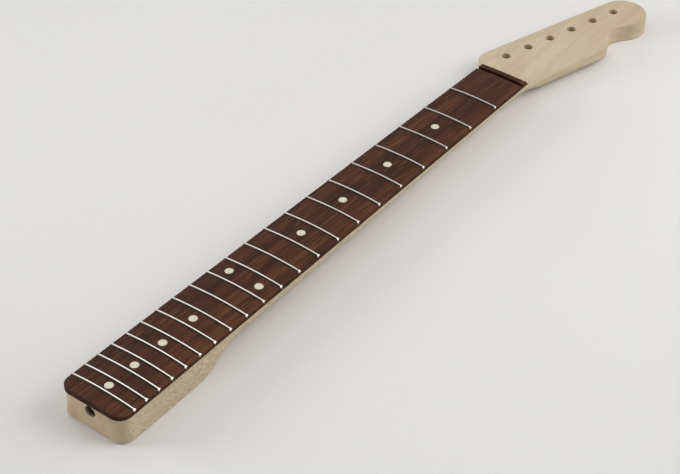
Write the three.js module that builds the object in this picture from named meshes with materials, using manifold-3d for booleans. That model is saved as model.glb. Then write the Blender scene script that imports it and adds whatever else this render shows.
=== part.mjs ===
// A bolt-on electric guitar neck: a maple neck with a rosewood fingerboard, 21 frets, inlaid dots and a
// truss rod that is adjusted at the heel. It is bare: no nut, tuning machines or finish are fitted.
// Millimetres, +Z up. +X runs from the heel to the head and +Y to the bass side.
// The part's origin is the middle of the four screw holes, on the flat back of the heel.
// The pieces are laid out from the nut line: x = 0 there, y = 0 on the centre line and z = 0 on the crown of
// the fingerboard.

import * as THREE from "three";
import { mergeVertices } from "three/addons/utils/BufferGeometryUtils.js";
import Module from "manifold-3d";

// Scale and frets
const scaleLength = 647.7;
const semitonesPerOctave = 12;
const fretCount = 21;
const fretCrownWidth = 2.3;
const fretCrownHeight = 1.1;
const fretCrownEdge = 0.3;
const fretShoulderWidth = 1.4;
const fretShoulderHeight = 0.9;
const fretTangWidth = 0.5;
const fretTangDepth = 1.5;
const fretEndBevel = 0.8;
const fretEndHeight = 0.35;
const fretSlotWidth = 0.6;
const fretSlotDepth = 2.2;

// Fingerboard
const boardWidthAtNut = 42.2;
const boardWidthAtHeel = 56.2;
const boardRadius = 241.3;
const boardThickness = 4.8;
const boardPastLastFret = 13;
const boardPastNutLine = 7.6;
const boardStrips = 6;
const nutSlotWidth = 3.4;
const nutSlotDepth = 3;

// Neck shaft and heel
const shaftDepthAtFirstFret = 19.5;
const shaftDepthAtOctave = 22.8;
const heelDepth = 26.2;
const heelCornerRadius = 9.5;
const heelEdgeRadius = 1;
const heelEndEdgeRadius = 2.2;
const heelFlatLength = 75;
const heelRampLength = 42;
const shaftShoulder = 0.5;
const shaftFullnessAtFirstFret = 1.85;
const shaftFullnessAtOctave = 2.1;
const cornerFullness = 2;
const shaftRoundShare = 0.97;

// Head. The bass edge runs straight from a round shoulder to the round tip. On the treble edge, places are
// given as shares of the head's length, from the nut line, and of its width, from the shoulder's outer side.
const headLength = 178.5;
const headWidth = 78.2;
const headThickness = 15.6;
const headEdgeRadius = 1.1;
const headScoopRadius = 16;
const headRampLength = 46;
const shoulderRadius = 17.4;
const shoulderAlong = 33;
const shoulderAcross = 19.9;
const flareRadius = 8;
const tipRadius = 19.9;
const tipLeaveTurnShare = -0.352;
const notchPullShares = [0.756, 0.829];
const notchDeepestShares = [0.725, 0.829];
const notchExitShares = [0.686, 0.829];
const hornRiseShares = [0.65, 0.893];
const hornPullShares = [0.605, 0.967];
const hornBaseShares = [0.515, 0.936];
const edgeBendShares = [0.28, 0.8];
const edgePullShare = 0.174;
const edgeStartShare = 0.084;
const loftEndShare = 0.715;

// The shaft's rounding runs on under the treble edge of the head and dies out at the horn
const underCutWidth = 17;
const underCutHeight = 11.5;
const underCutFadesShare = 0.44;
const underCutEndsShare = 0.715;

// Tuner holes, in a row along the straight bass edge of the head
const tunerHoleDiameter = 7.4;
const tunerHoleCount = 6;
const tunerHoleFromEdge = 14.3;
const firstTunerHolePastShoulder = 9.2;
const lastTunerHoleBeforeTip = 5.9;

// Screw holes in the heel
const screwHoleDiameter = 3;
const screwHoleDepth = 16;
const screwPatternLength = 50.8;
const screwPatternWidth = 38.1;
const screwPatternFromEnd = 38.1;

// Inlays
const dotDiameter = 6.35;
const dotThickness = 1.5;
const dotClearance = 0.03;
const octaveDotOffset = 13.44;
const singleDotFrets = [3, 5, 7, 9, 15, 17, 19, 21];
const octaveFret = 12;
const sideDotDiameter = 2;
const sideDotDepth = 3;
const sideDotHeight = -3.1;
const sideDotOffset = 4;

// Truss rod
const accessDiameter = 8.7;
const accessDepth = 16;
const rodAxisAtHeel = -9.4;
const rodDip = 3.6;
const rodDiameter = 4.76;
const rodHeadEnd = -12;
const channelWidth = 6.4;
const channelUnderRod = 0.2;
const adjusterDiameter = 7.8;
const adjusterLength = 11;
const adjusterBore = 5.1;
const adjusterSlotWidth = 1.3;
const adjusterSlotDepth = 2.6;
const washerThickness = 1.4;
const washerGap = 0.1;
const rodInAdjuster = 7;
const anchorLength = 9;
const anchorHeight = 8;
const stripOverRod = 0.15;

// Fits and mesh resolution
const seatGap = 0.02;
const slideGap = 0.05;
const easedEdge = 0.05;
const sameSpot = 0.01;
const cutMargin = 1;
const smallRound = 16;
const largeRound = 20;
const cornerSteps = 7;
const edgeSteps = 2;
const curveSteps = 8;
const shaftStations = 4;
const scoopStations = 8;
const rodStations = 14;
const rampStations = 8;

// Finish
const colours = {
  maple: { color: 0xd9c39a, roughness: 0.75, metalness: 0 },
  rosewood: { color: 0x4a2a1c, roughness: 0.6, metalness: 0 },
  nickel: { color: 0xd6d4cd, roughness: 0.25, metalness: 1 },
  inlay: { color: 0xe9e2cc, roughness: 0.35, metalness: 0 },
  steel: { color: 0x8d8f92, roughness: 0.4, metalness: 1 },
  darkSteel: { color: 0x5c5a57, roughness: 0.45, metalness: 1 },
  brass: { color: 0xb08d4a, roughness: 0.4, metalness: 1 },
  sideDot: { color: 0xf0ece0, roughness: 0.4, metalness: 0 },
};

// Places worked out from the dimensions above
const seam = -boardThickness;
const headFace = headThickness - heelDepth;
const lastFret = fretPlace(fretCount);
const heelEnd = lastFret - boardPastLastFret;
const patternCentre = heelEnd + screwPatternFromEnd;
const heelFlatEnd = heelEnd + heelFlatLength;
const heelRampEnd = heelFlatEnd + heelRampLength;
const accessEnd = heelEnd + accessDepth;
const adjusterBack = accessEnd - washerThickness - washerGap - washerGap;
const adjusterFront = adjusterBack - adjusterLength;
const wideHalf = boardWidthAtHeel / 2 + cutMargin;

const shoulderCentre = new THREE.Vector2(shoulderAlong, shoulderAcross);
const headTop = shoulderAcross + shoulderRadius;
const tipCentre = new THREE.Vector2(headLength - tipRadius, headTop - headWidth + tipRadius);
const edgeStart = headLength * edgeStartShare;
const loftEnd = headLength * loftEndShare;

// The hollow curve that climbs from the head's face goes on, at the same slope, up the fingerboard's end.
const scoopClimb = seam - headFace;
const scoopTurn = Math.acos((headScoopRadius - scoopClimb) / headScoopRadius);
const scoopTop = boardPastNutLine + boardThickness / Math.tan(scoopTurn);
const scoopFoot = scoopTop + headScoopRadius * Math.sin(scoopTurn);

const wasm = await Module();
wasm.setup();

function fretPlace(fret) {
  return -scaleLength * (1 - Math.pow(2, -fret / semitonesPerOctave));
}

function halfWidth(x) {
  const share = x / heelEnd;
  return THREE.MathUtils.lerp(boardWidthAtNut, boardWidthAtHeel, share) / 2;
}

// The fingerboard's crowned top is made of flat strips, and every piece on it follows the same strips.
const stripEdges = [...spread(-wideHalf, wideHalf, boardStrips), wideHalf];

function crownHeight(y) {
  return Math.sqrt(boardRadius ** 2 - y ** 2) - boardRadius;
}

function boardTop(y) {
  const i = THREE.MathUtils.clamp(stripEdges.findIndex((edge) => edge > y) - 1, 0, boardStrips - 1);
  const from = stripEdges[i];
  const to = stripEdges[i + 1];
  return THREE.MathUtils.mapLinear(y, from, to, crownHeight(from), crownHeight(to));
}

// Solids

function solid(geometry) {
  const plain = geometry.clone();
  plain.deleteAttribute("normal");
  plain.deleteAttribute("uv");
  const merged = mergeVertices(plain);
  const vertProperties = new Float32Array(merged.attributes.position.array);
  const triVerts = new Uint32Array(merged.index.array);
  return new wasm.Manifold(new wasm.Mesh({ numProp: 3, vertProperties, triVerts }));
}

function toGeometry(body) {
  const mesh = body.getMesh();
  const geometry = new THREE.BufferGeometry();
  geometry.setAttribute("position", new THREE.BufferAttribute(mesh.vertProperties, mesh.numProp));
  geometry.setIndex(new THREE.BufferAttribute(mesh.triVerts, 1));
  const faceted = geometry.toNonIndexed();
  faceted.computeVertexNormals();
  return faceted;
}

function join(bodies) {
  return bodies.reduce((sum, body) => sum.add(body));
}

// A closed solid through a row of like outlines. Each outline is a ring of points that runs anticlockwise
// when it is seen from the far end of the row, looking back at the start.
function loft(rings) {
  const count = rings[0].length;
  const positions = rings.flat().flatMap((point) => point.toArray());
  const indices = [];
  for (let r = 0; r + 1 < rings.length; r++) {
    for (let i = 0; i < count; i++) {
      const a = r * count + i;
      const b = r * count + ((i + 1) % count);
      indices.push(a, b, b + count, a, b + count, a + count);
    }
  }
  const along = rings[1][0].clone().sub(rings[0][0]);
  const runsAlongX = Math.abs(along.x) > Math.abs(along.y);
  const flat = (point) => new THREE.Vector2(...(runsAlongX ? [point.y, point.z] : [point.z, point.x]));
  for (const [a, b, c] of THREE.ShapeUtils.triangulateShape(rings[0].map(flat), [])) {
    indices.push(c, b, a);
  }
  const last = (rings.length - 1) * count;
  for (const [a, b, c] of THREE.ShapeUtils.triangulateShape(rings.at(-1).map(flat), [])) {
    indices.push(last + a, last + b, last + c);
  }
  const geometry = new THREE.BufferGeometry();
  geometry.setAttribute("position", new THREE.Float32BufferAttribute(positions, 3));
  geometry.setIndex(indices);
  return solid(geometry);
}

// An upright prism of a plan outline between two heights.
function prism(shape, bottom, top) {
  const depth = top - bottom;
  const options = { depth, bevelEnabled: false, curveSegments: curveSteps };
  const geometry = new THREE.ExtrudeGeometry(shape, options);
  geometry.translate(0, 0, bottom);
  return solid(geometry);
}

// A prism along X of an outline drawn in Y and Z.
function prismAlongX(shape, from, to) {
  const geometry = new THREE.ExtrudeGeometry(shape, { depth: to - from, bevelEnabled: false });
  const turn = new THREE.Matrix4().makeBasis(
    new THREE.Vector3(0, 1, 0),
    new THREE.Vector3(0, 0, 1),
    new THREE.Vector3(1, 0, 0),
  );
  geometry.applyMatrix4(turn);
  geometry.translate(from, 0, 0);
  return solid(geometry);
}

function box(x0, x1, y0, y1, z0, z1) {
  const geometry = new THREE.BoxGeometry(x1 - x0, y1 - y0, z1 - z0);
  geometry.translate((x0 + x1) / 2, (y0 + y1) / 2, (z0 + z1) / 2);
  return solid(geometry);
}

function pinUpright(x, y, radius, z0, z1, sides) {
  const geometry = new THREE.CylinderGeometry(radius, radius, z1 - z0, sides);
  geometry.rotateX(Math.PI / 2);
  geometry.translate(x, y, (z0 + z1) / 2);
  return solid(geometry);
}

function pinAlongX(x0, x1, z, radius, sides) {
  const geometry = new THREE.CylinderGeometry(radius, radius, x1 - x0, sides);
  geometry.rotateZ(Math.PI / 2);
  geometry.translate((x0 + x1) / 2, 0, z);
  return solid(geometry);
}

function pinAlongY(x, z, y0, y1, radius, sides) {
  const geometry = new THREE.CylinderGeometry(radius, radius, y1 - y0, sides);
  geometry.translate(x, (y0 + y1) / 2, z);
  return solid(geometry);
}

// Fingerboard

// The tapered plan of the fingerboard, with round corners at the heel end.
function boardPlan(xEnd) {
  const plan = new THREE.Shape();
  plan.moveTo(xEnd, -halfWidth(xEnd));
  plan.lineTo(xEnd, halfWidth(xEnd));
  roundEnd(plan);
  plan.closePath();
  return plan;
}

// The two corner arcs and the square end of the heel, drawn from the bass side to the treble side.
function roundEnd(plan) {
  const r = heelCornerRadius;
  const x = heelEnd + r;
  const side = halfWidth(x);
  plan.lineTo(x, side);
  plan.absarc(x, side - r, r, Math.PI / 2, Math.PI, false);
  plan.absarc(x, r - side, r, Math.PI, Math.PI * 3 / 2, false);
}

// Everything under the crowned top, down to a given height.
function underCrown(bottom) {
  const shape = new THREE.Shape();
  shape.moveTo(-wideHalf, bottom);
  shape.lineTo(wideHalf, bottom);
  for (const y of [...stripEdges].reverse()) {
    shape.lineTo(y, crownHeight(y));
  }
  shape.closePath();
  return prismAlongX(shape, heelEnd - cutMargin, scoopTop + cutMargin);
}

// The slope at the head end of the fingerboard.
function boardEndCut() {
  const shape = new THREE.Shape();
  const rise = cutMargin / Math.tan(scoopTurn);
  shape.moveTo(boardPastNutLine - rise, cutMargin);
  shape.lineTo(scoopTop + rise, seam - cutMargin);
  shape.lineTo(scoopFoot, seam - cutMargin);
  shape.lineTo(scoopFoot, cutMargin);
  shape.closePath();
  const geometry = new THREE.ExtrudeGeometry(shape, { depth: wideHalf * 2, bevelEnabled: false });
  geometry.rotateX(Math.PI / 2);
  geometry.translate(0, wideHalf, 0);
  return solid(geometry);
}

function fretSlot(x) {
  const half = fretSlotWidth / 2;
  const rings = stripEdges.map((y) => {
    const top = crownHeight(y);
    return [
      new THREE.Vector3(x - half, y, top - fretSlotDepth),
      new THREE.Vector3(x - half, y, top + cutMargin),
      new THREE.Vector3(x + half, y, top + cutMargin),
      new THREE.Vector3(x + half, y, top - fretSlotDepth),
    ];
  });
  return loft(rings);
}

function dotPlaces() {
  const places = singleDotFrets.map((fret) => ({ name: `dot_fret_${pad(fret)}`, x: dotX(fret), y: 0 }));
  places.push({ name: `dot_fret_${octaveFret}_bass`, x: dotX(octaveFret), y: octaveDotOffset });
  places.push({ name: `dot_fret_${octaveFret}_treble`, x: dotX(octaveFret), y: -octaveDotOffset });
  return places;
}

function dotX(fret) {
  return (fretPlace(fret) + fretPlace(fret - 1)) / 2;
}

function pad(number) {
  return String(number).padStart(2, "0");
}

function sideDotPlaces() {
  const places = singleDotFrets.map((fret) => ({ name: `side_dot_${pad(fret)}`, x: dotX(fret) }));
  places.push({ name: `side_dot_${octaveFret}_heel_side`, x: dotX(octaveFret) - sideDotOffset });
  places.push({ name: `side_dot_${octaveFret}_head_side`, x: dotX(octaveFret) + sideDotOffset });
  return places;
}

function makeFingerboard() {
  const board = prism(boardPlan(scoopTop), seam, cutMargin).intersect(underCrown(seam - cutMargin));
  const cuts = [boardEndCut()];
  for (let fret = 1; fret <= fretCount; fret++) {
    cuts.push(fretSlot(fretPlace(fret)));
  }
  for (const { x, y } of dotPlaces()) {
    const pocketFloor = dotBottom(y) - slideGap;
    cuts.push(pinUpright(x, y, dotDiameter / 2 + dotClearance, pocketFloor, cutMargin, largeRound));
  }
  const sideDotHole = sideDotDiameter / 2 + dotClearance;
  for (const { x } of sideDotPlaces()) {
    const side = halfWidth(x);
    const holeFloor = side - sideDotDepth - slideGap;
    cuts.push(pinAlongY(x, sideDotHeight, holeFloor, side + cutMargin, sideDotHole, smallRound));
  }
  cuts.push(box(0, nutSlotWidth, -wideHalf, wideHalf, -nutSlotDepth, cutMargin));
  return board.subtract(join(cuts));
}

// A dot is its full thickness where the crown is lowest over it.
function dotBottom(y) {
  return boardTop(Math.abs(y) + dotDiameter / 2) - dotThickness;
}

function makeDot(x, y) {
  const blank = pinUpright(x, y, dotDiameter / 2, dotBottom(y), cutMargin, largeRound);
  return blank.intersect(underCrown(seam));
}

function makeSideDot(x) {
  const side = halfWidth(x);
  const radius = sideDotDiameter / 2;
  const blank = pinAlongY(x, sideDotHeight, side - sideDotDepth, side + cutMargin, radius, smallRound);
  return blank.intersect(prism(boardPlan(scoopTop), seam, cutMargin));
}

// Frets: a crown on a tang, along the strips of the fingerboard, with its ends bevelled.
function makeFret(x) {
  const width = halfWidth(x);
  const crown = fretCrownWidth / 2;
  const shoulder = fretShoulderWidth / 2;
  const tang = fretTangWidth / 2;
  const fullFrom = width - fretEndBevel;
  const places = [-width, -fullFrom, ...stripEdges.filter((y) => Math.abs(y) < fullFrom), fullFrom, width];
  const rings = places.map((y) => {
    const seat = boardTop(y) + seatGap;
    const share = Math.abs(y) < width ? 1 : fretEndHeight / fretCrownHeight;
    const edge = seat + fretCrownEdge * share;
    const bend = seat + fretShoulderHeight * share;
    const top = seat + fretCrownHeight * share;
    return [
      new THREE.Vector3(x - tang, y, seat - fretTangDepth),
      new THREE.Vector3(x - tang, y, seat),
      new THREE.Vector3(x - crown, y, seat),
      new THREE.Vector3(x - crown, y, edge),
      new THREE.Vector3(x - shoulder, y, bend),
      new THREE.Vector3(x, y, top),
      new THREE.Vector3(x + shoulder, y, bend),
      new THREE.Vector3(x + crown, y, edge),
      new THREE.Vector3(x + crown, y, seat),
      new THREE.Vector3(x + tang, y, seat),
      new THREE.Vector3(x + tang, y, seat - fretTangDepth),
    ];
  });
  return loft(rings);
}

// Neck

// The bass edge of the head, from the shaft to the tip.
function bassEdge() {
  const start = flareStart();
  const flareCentre = new THREE.Vector2(start.x, start.y + flareRadius);
  const meets = flareCentre.clone().sub(shoulderCentre).angle();
  const path = new THREE.Path();
  path.moveTo(start.x, start.y);
  path.absarc(flareCentre.x, flareCentre.y, flareRadius, -Math.PI / 2, meets - Math.PI, false);
  path.absarc(shoulderCentre.x, shoulderCentre.y, shoulderRadius, meets, edgeNormal(), true);
  path.absarc(tipCentre.x, tipCentre.y, tipRadius, edgeNormal(), 0, true);
  return path;
}

// The flare is a hollow arc that leaves the shaft's side and meets the round shoulder of the head.
function flareStart() {
  const side = halfWidth(0);
  const rise = side + flareRadius - shoulderCentre.y;
  const reach = flareRadius + shoulderRadius;
  return new THREE.Vector2(shoulderCentre.x - Math.sqrt(reach ** 2 - rise ** 2), side);
}

// Direction square to the straight bass edge, which touches the shoulder's arc and the tip's.
function edgeNormal() {
  const between = tipCentre.clone().sub(shoulderCentre);
  const tilt = Math.asin((tipRadius - shoulderRadius) / between.length());
  return Math.atan2(between.y, between.x) + Math.PI / 2 + tilt;
}

function headPoint([along, across]) {
  return [headLength * along, headTop - headWidth * across];
}

// The treble edge of the head from the tip's arc: the notch, the horn and the straight stretch beyond it.
function trebleEdge(path) {
  path.quadraticCurveTo(...headPoint(notchPullShares), ...headPoint(notchDeepestShares));
  path.quadraticCurveTo(...headPoint(notchExitShares), ...headPoint(hornRiseShares));
  path.quadraticCurveTo(...headPoint(hornPullShares), ...headPoint(hornBaseShares));
  path.lineTo(...headPoint(edgeBendShares));
}

function onArc(centre, radius, angle) {
  return new THREE.Vector2(radius, 0).rotateAround(new THREE.Vector2(), angle).add(centre);
}

// The outline of the head past its shoulder, closed by a straight line across the head.
function tipOutline() {
  const normal = edgeNormal();
  const path = new THREE.Path();
  path.setFromPoints([onArc(shoulderCentre, shoulderRadius, normal), onArc(tipCentre, tipRadius, normal)]);
  path.absarc(tipCentre.x, tipCentre.y, tipRadius, normal, tipLeaveTurnShare * Math.PI * 2, true);
  trebleEdge(path);
  return path;
}

// y where a row of points crosses x.
function crossing(points, x) {
  for (let i = 0; i + 1 < points.length; i++) {
    const a = points[i];
    const b = points[i + 1];
    if ((a.x - x) * (b.x - x) <= 0 && a.x !== b.x) {
      return THREE.MathUtils.mapLinear(x, a.x, b.x, a.y, b.y);
    }
  }
  throw new Error("outline is not crossed there");
}

const bassPoints = bassEdge().getPoints(curveSteps);

const treblePoints = (() => {
  const edgePull = headLength * edgePullShare;
  const path = new THREE.Path();
  path.setFromPoints([onArc(tipCentre, tipRadius, tipLeaveTurnShare * Math.PI * 2)]);
  trebleEdge(path);
  path.quadraticCurveTo(edgePull, -halfWidth(edgePull), edgeStart, -halfWidth(edgeStart));
  return path.getPoints(curveSteps);
})();

function bassSide(x) {
  return x <= bassPoints[0].x ? halfWidth(Math.min(x, 0)) : crossing(bassPoints, x);
}

function trebleSide(x) {
  return x <= edgeStart ? -halfWidth(x) : crossing(treblePoints, x);
}

// A measure of the shaft that grows evenly from the first fret to the octave.
function alongShaft(x, atFirstFret, atOctave) {
  return THREE.MathUtils.mapLinear(x, fretPlace(1), fretPlace(octaveFret), atFirstFret, atOctave);
}

// Height of the maple's top: the seam under the fingerboard, then the hollow curve, then the head's face.
function neckTop(x) {
  if (x <= scoopTop) {
    return seam;
  }
  const fromFoot = Math.max(scoopFoot - x, 0);
  return headFace + headScoopRadius - Math.sqrt(headScoopRadius ** 2 - fromFoot ** 2);
}

// One cross-section of the maple, as a ring of points at x.
function neckRing(x) {
  const bass = x < 0 ? halfWidth(x) : bassSide(x);
  const treble = x < 0 ? -halfWidth(x) : trebleSide(x);
  const headShare = THREE.MathUtils.smoothstep(x, 0, headRampLength);
  const heelShare = 1 - THREE.MathUtils.smoothstep(x, heelFlatEnd, heelRampEnd);
  const blockShare = Math.max(heelShare, headShare);
  const shaftDepth = alongShaft(x, shaftDepthAtFirstFret, shaftDepthAtOctave);
  const depth = THREE.MathUtils.lerp(shaftDepth, heelDepth, blockShare);
  const shaftFullness = alongShaft(x, shaftFullnessAtFirstFret, shaftFullnessAtOctave);
  const fullness = THREE.MathUtils.lerp(shaftFullness, cornerFullness, blockShare);
  const top = neckTop(x);
  const scoopShare = THREE.MathUtils.smoothstep(x, scoopTop, scoopFoot);
  const eased = THREE.MathUtils.lerp(easedEdge, headEdgeRadius, scoopShare);
  const sharpRadius = x > 0 ? headEdgeRadius : heelEdgeRadius;
  const sharp = new THREE.Vector2(sharpRadius, sharpRadius);
  const roundHeight = shaftDepth - boardThickness - shaftShoulder;
  const shaftRound = new THREE.Vector2(halfWidth(x) * shaftRoundShare, roundHeight);
  const bassRound = shaftRound.clone().lerp(sharp, blockShare);
  const underCut = new THREE.Vector2(underCutWidth, underCutHeight).lerp(sharp, underCutShare(x));
  const trebleRound = x > 0 ? shaftRound.clone().lerp(underCut, headShare) : bassRound;
  return [
    ...upperEdge(x, bass, top, eased, -1),
    ...upperEdge(x, treble, top, eased, 1).reverse(),
    ...lowerCorner(x, treble, -depth, trebleRound, fullness, 1),
    ...lowerCorner(x, bass, -depth, bassRound, fullness, -1).reverse(),
  ];
}

// How far the rounding under the treble edge of the head has died out.
function underCutShare(x) {
  return THREE.MathUtils.smoothstep(x / headLength, underCutFadesShare, underCutEndsShare);
}

// Points of a rounded upper edge, from the side up to the top.
function upperEdge(x, side, top, radius, inward) {
  const points = [];
  for (let i = 0; i <= edgeSteps; i++) {
    const turn = (i / edgeSteps) * Math.PI / 2;
    const y = side + inward * radius * (1 - Math.cos(turn));
    points.push(new THREE.Vector3(x, y, top - radius * (1 - Math.sin(turn))));
  }
  return points;
}

// Points of a rounded lower corner, from the side down to the back.
function lowerCorner(x, side, bottom, round, fullness, inward) {
  const points = [];
  for (let i = 0; i <= cornerSteps; i++) {
    const turn = (i / cornerSteps) * Math.PI / 2;
    const across = round.x * (1 - Math.cos(turn) ** (2 / fullness));
    const down = round.y * Math.sin(turn) ** (2 / fullness);
    points.push(new THREE.Vector3(x, side + inward * across, bottom + round.y - down));
  }
  return points;
}

function spread(from, to, steps) {
  return Array.from({ length: steps }, (_, i) => THREE.MathUtils.lerp(from, to, i / steps));
}

// The loft has a cross-section at each point of the head's outline, and evenly spaced ones along the scoop.
function makeNeckBlank() {
  const outline = [...bassPoints, ...treblePoints].map((point) => point.x);
  const stations = [
    heelEnd - cutMargin,
    ...spread(heelFlatEnd, heelRampEnd, rampStations),
    ...spread(heelRampEnd, 0, shaftStations),
    ...spread(0, scoopTop, scoopStations),
    ...spread(scoopTop, scoopFoot, scoopStations),
    ...outline.filter((x) => x > scoopFoot && x < loftEnd),
    loftEnd,
  ];
  stations.sort((a, b) => a - b);
  const apart = stations.filter((x, i) => i === 0 || x - stations[i - 1] > sameSpot);
  return loft(apart.map(neckRing)).intersect(heelEnvelope()).add(makeTip());
}

// A block around the neck that only touches it at the heel, where it rounds the corners and the lower edge.
function heelEnvelope() {
  const edge = heelEndEdgeRadius;
  const plan = new THREE.Path();
  plan.moveTo(loftEnd + cutMargin, -headWidth);
  plan.lineTo(loftEnd + cutMargin, headWidth);
  plan.lineTo(heelEnd + heelCornerRadius, headWidth);
  roundEnd(plan);
  plan.lineTo(heelEnd + heelCornerRadius, -headWidth);
  return bevelledPrism(plan, edge, -heelDepth, edge + edge + cutMargin);
}

// An upright prism with all its edges rounded inside its outline.
function bevelledPrism(path, edge, bottom, top) {
  const points = path.getPoints(curveSteps);
  const apart = points.filter((point, i) => point.distanceTo(points.at(i - 1)) > sameSpot);
  const geometry = new THREE.ExtrudeGeometry(new THREE.Shape(apart), {
    depth: top - bottom - edge - edge,
    bevelThickness: edge,
    bevelSize: edge,
    bevelOffset: -edge,
    bevelSegments: edgeSteps,
  });
  geometry.translate(0, 0, bottom + edge);
  return solid(geometry);
}

// The end of the head, with rounded edges, cut square where the loft stops.
function makeTip() {
  const whole = bevelledPrism(tipOutline(), headEdgeRadius, -heelDepth, headFace);
  const keep = box(loftEnd, headLength + cutMargin, -headWidth, headWidth, -heelDepth - cutMargin, 0);
  return whole.intersect(keep);
}

// Truss rod

// Height of the rod's axis: a shallow curve that is lowest in the middle of its length.
function rodHeight(x) {
  const share = THREE.MathUtils.clamp((x - accessEnd) / (rodHeadEnd - accessEnd), 0, 1);
  return rodAxisAtHeel - rodDip * Math.sin(share * Math.PI);
}

function alongRod(from, to) {
  return [...spread(from, to, rodStations), to];
}

function rodBody(from, to) {
  const rings = alongRod(from, to).map((x) => {
    const points = [];
    for (let i = 0; i < smallRound; i++) {
      const turn = (i / smallRound) * Math.PI * 2;
      const y = Math.cos(turn) * rodDiameter / 2;
      points.push(new THREE.Vector3(x, y, rodHeight(x) + Math.sin(turn) * rodDiameter / 2));
    }
    return points;
  });
  return loft(rings);
}

// A bar along the rod between two heights, given as functions of x.
function rodBar(from, to, half, low, high) {
  const rings = alongRod(from, to).map((x) => [
    new THREE.Vector3(x, -half, low(x)),
    new THREE.Vector3(x, half, low(x)),
    new THREE.Vector3(x, half, high(x)),
    new THREE.Vector3(x, -half, high(x)),
  ]);
  return loft(rings);
}

function makeRod() {
  const threadEnd = adjusterBack - rodInAdjuster;
  const thread = pinAlongX(threadEnd, accessEnd, rodAxisAtHeel, rodDiameter / 2, smallRound);
  return thread.add(rodBody(accessEnd, rodHeadEnd - anchorLength - slideGap));
}

function makeAnchor() {
  const half = channelWidth / 2 - slideGap;
  const low = rodHeight(rodHeadEnd) - anchorHeight / 2;
  return box(rodHeadEnd - anchorLength, rodHeadEnd, -half, half, low, low + anchorHeight);
}

function makeStrip() {
  const low = (x) => rodHeight(x) + rodDiameter / 2 + stripOverRod;
  const from = accessEnd + accessDiameter / 2;
  const to = rodHeadEnd - anchorLength - slideGap;
  return rodBar(from, to, channelWidth / 2 - slideGap, low, () => seam - slideGap);
}

function makeWasher() {
  const outer = accessDiameter / 2 - slideGap - slideGap;
  const inner = rodDiameter / 2 + slideGap + slideGap;
  const profile = [
    new THREE.Vector2(inner, 0),
    new THREE.Vector2(outer, 0),
    new THREE.Vector2(outer, washerThickness),
    new THREE.Vector2(inner, washerThickness),
    new THREE.Vector2(inner, 0),
  ];
  const geometry = new THREE.LatheGeometry(profile, largeRound);
  geometry.rotateZ(-Math.PI / 2);
  geometry.translate(adjusterBack + washerGap, 0, rodAxisAtHeel);
  return solid(geometry);
}

function makeAdjuster() {
  const barrel = pinAlongX(adjusterFront, adjusterBack, rodAxisAtHeel, adjusterDiameter / 2, largeRound);
  const cutFrom = adjusterFront - cutMargin;
  const bore = pinAlongX(cutFrom, adjusterBack + cutMargin, rodAxisAtHeel, adjusterBore / 2, smallRound);
  const half = adjusterSlotWidth / 2;
  const reach = adjusterDiameter;
  const slotEnd = adjusterFront + adjusterSlotDepth;
  const upright = box(cutFrom, slotEnd, -half, half, rodAxisAtHeel - reach, rodAxisAtHeel + reach);
  const level = box(cutFrom, slotEnd, -reach, reach, rodAxisAtHeel - half, rodAxisAtHeel + half);
  return barrel.subtract(join([bore, upright, level]));
}

// The tuner holes are evenly spaced along the bass edge, between the shoulder's arc and the tip's.
function tunerHolePlaces() {
  const normal = edgeNormal();
  const start = onArc(shoulderCentre, shoulderRadius - tunerHoleFromEdge, normal);
  const row = tipCentre.distanceTo(shoulderCentre) - firstTunerHolePastShoulder - lastTunerHoleBeforeTip;
  return Array.from({ length: tunerHoleCount }, (_, i) => {
    const along = firstTunerHolePastShoulder + row * i / (tunerHoleCount - 1);
    return onArc(start, along, normal - Math.PI / 2);
  });
}

function makeNeck() {
  const cuts = [pinAlongX(heelEnd - cutMargin, accessEnd, rodAxisAtHeel, accessDiameter / 2, largeRound)];
  const half = channelWidth / 2;
  const channelFloor = (x) => rodHeight(x) - rodDiameter / 2 - channelUnderRod;
  cuts.push(rodBar(accessEnd - cutMargin, rodHeadEnd, half, channelFloor, () => 0));
  const anchorLow = rodHeight(rodHeadEnd) - anchorHeight / 2 - slideGap;
  cuts.push(box(rodHeadEnd - anchorLength, rodHeadEnd + slideGap, -half, half, anchorLow, 0));
  const holeZ = -heelDepth - cutMargin;
  for (const { x, y } of tunerHolePlaces()) {
    cuts.push(pinUpright(x, y, tunerHoleDiameter / 2, holeZ, 0, largeRound));
  }
  for (const along of [-1, 1]) {
    for (const across of [-1, 1]) {
      const x = patternCentre + along * screwPatternLength / 2;
      const y = across * screwPatternWidth / 2;
      cuts.push(pinUpright(x, y, screwHoleDiameter / 2, holeZ, screwHoleDepth - heelDepth, smallRound));
    }
  }
  return makeNeckBlank().subtract(join(cuts));
}

// The assembly

const group = new THREE.Group();
const fromNutLine = new THREE.Group();
fromNutLine.position.set(-patternCentre, 0, heelDepth);
group.add(fromNutLine);

function place(name, body, finish) {
  const mesh = new THREE.Mesh(toGeometry(body), new THREE.MeshStandardMaterial(finish));
  mesh.name = name;
  fromNutLine.add(mesh);
}

place("neck", makeNeck(), colours.maple);
place("fingerboard", makeFingerboard(), colours.rosewood);
for (let fret = 1; fret <= fretCount; fret++) {
  place(`fret_${pad(fret)}`, makeFret(fretPlace(fret)), colours.nickel);
}
for (const { name, x, y } of dotPlaces()) {
  place(name, makeDot(x, y), colours.inlay);
}
for (const { name, x } of sideDotPlaces()) {
  place(name, makeSideDot(x), colours.sideDot);
}
place("truss_rod", makeRod(), colours.steel);
place("truss_rod_anchor", makeAnchor(), colours.steel);
place("truss_rod_cover_strip", makeStrip(), colours.maple);
place("truss_rod_washer", makeWasher(), colours.brass);
place("truss_rod_nut", makeAdjuster(), colours.darkSteel);

export default group;
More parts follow.
